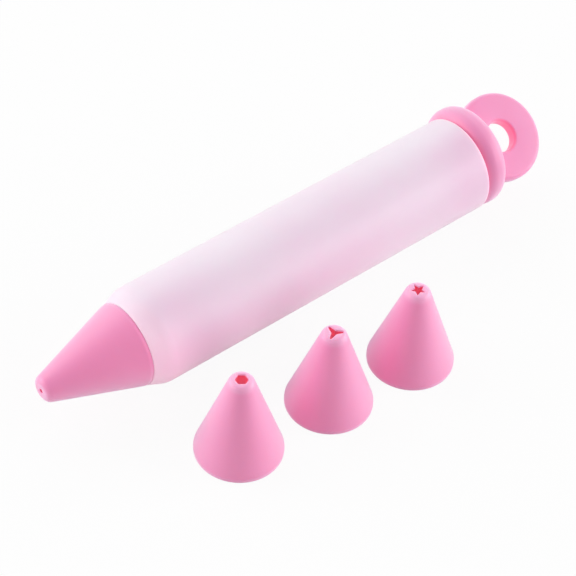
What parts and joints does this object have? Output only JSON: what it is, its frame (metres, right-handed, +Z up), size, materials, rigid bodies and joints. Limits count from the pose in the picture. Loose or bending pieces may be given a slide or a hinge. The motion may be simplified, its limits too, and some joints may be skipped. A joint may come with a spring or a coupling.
{
  "type": "cake decorating syringe",
  "caption": "Silicone squeeze pen for icing, with a translucent barrel, a push-on writing tip, a ringed end plug and spare shaped tips.",
  "frame": {"origin": "on the table, under the centre of the whole set's bounding box", "axes": "+X along the lying pen from its writing tip to its hanging ring, +Z up from the table, spare tips on the -Y side"},
  "size_m": [0.1978, 0.076, 0.034],
  "materials": {
    "frosted_silicone": "frosted translucent silicone with a soft satin surface",
    "pink_silicone": "satin pink silicone"
  },
  "bodies": {
    "barrel": {"barrel": "frosted_silicone"},
    "writing_tip": {"writing_tip": "pink_silicone"},
    "end_plug": {"end_plug": "pink_silicone"},
    "hexagon_tip": {"hexagon_tip": "pink_silicone"},
    "slot_tip": {"slot_tip": "pink_silicone"},
    "star_tip": {"star_tip": "pink_silicone"}
  },
  "joints": [
    {"name": "plug_pull", "type": "slide", "parent": "barrel", "child": "end_plug", "axis": [1, 0, 0.003], "range_m": [0, 0.03]},
    {"name": "writing_tip_pull", "type": "slide", "parent": "barrel", "child": "writing_tip", "axis": [-1, 0, -0.003], "range_m": [0, 0.03]},
    {"name": "hexagon_tip_lift", "type": "slide", "parent": "barrel", "child": "hexagon_tip", "axis": [0, 0, 1], "range_m": [0, 0.04]},
    {"name": "slot_tip_lift", "type": "slide", "parent": "barrel", "child": "slot_tip", "axis": [0, 0, 1], "range_m": [0, 0.04]},
    {"name": "star_tip_lift", "type": "slide", "parent": "barrel", "child": "star_tip", "axis": [0, 0, 1], "range_m": [0, 0.04]}
  ]
}
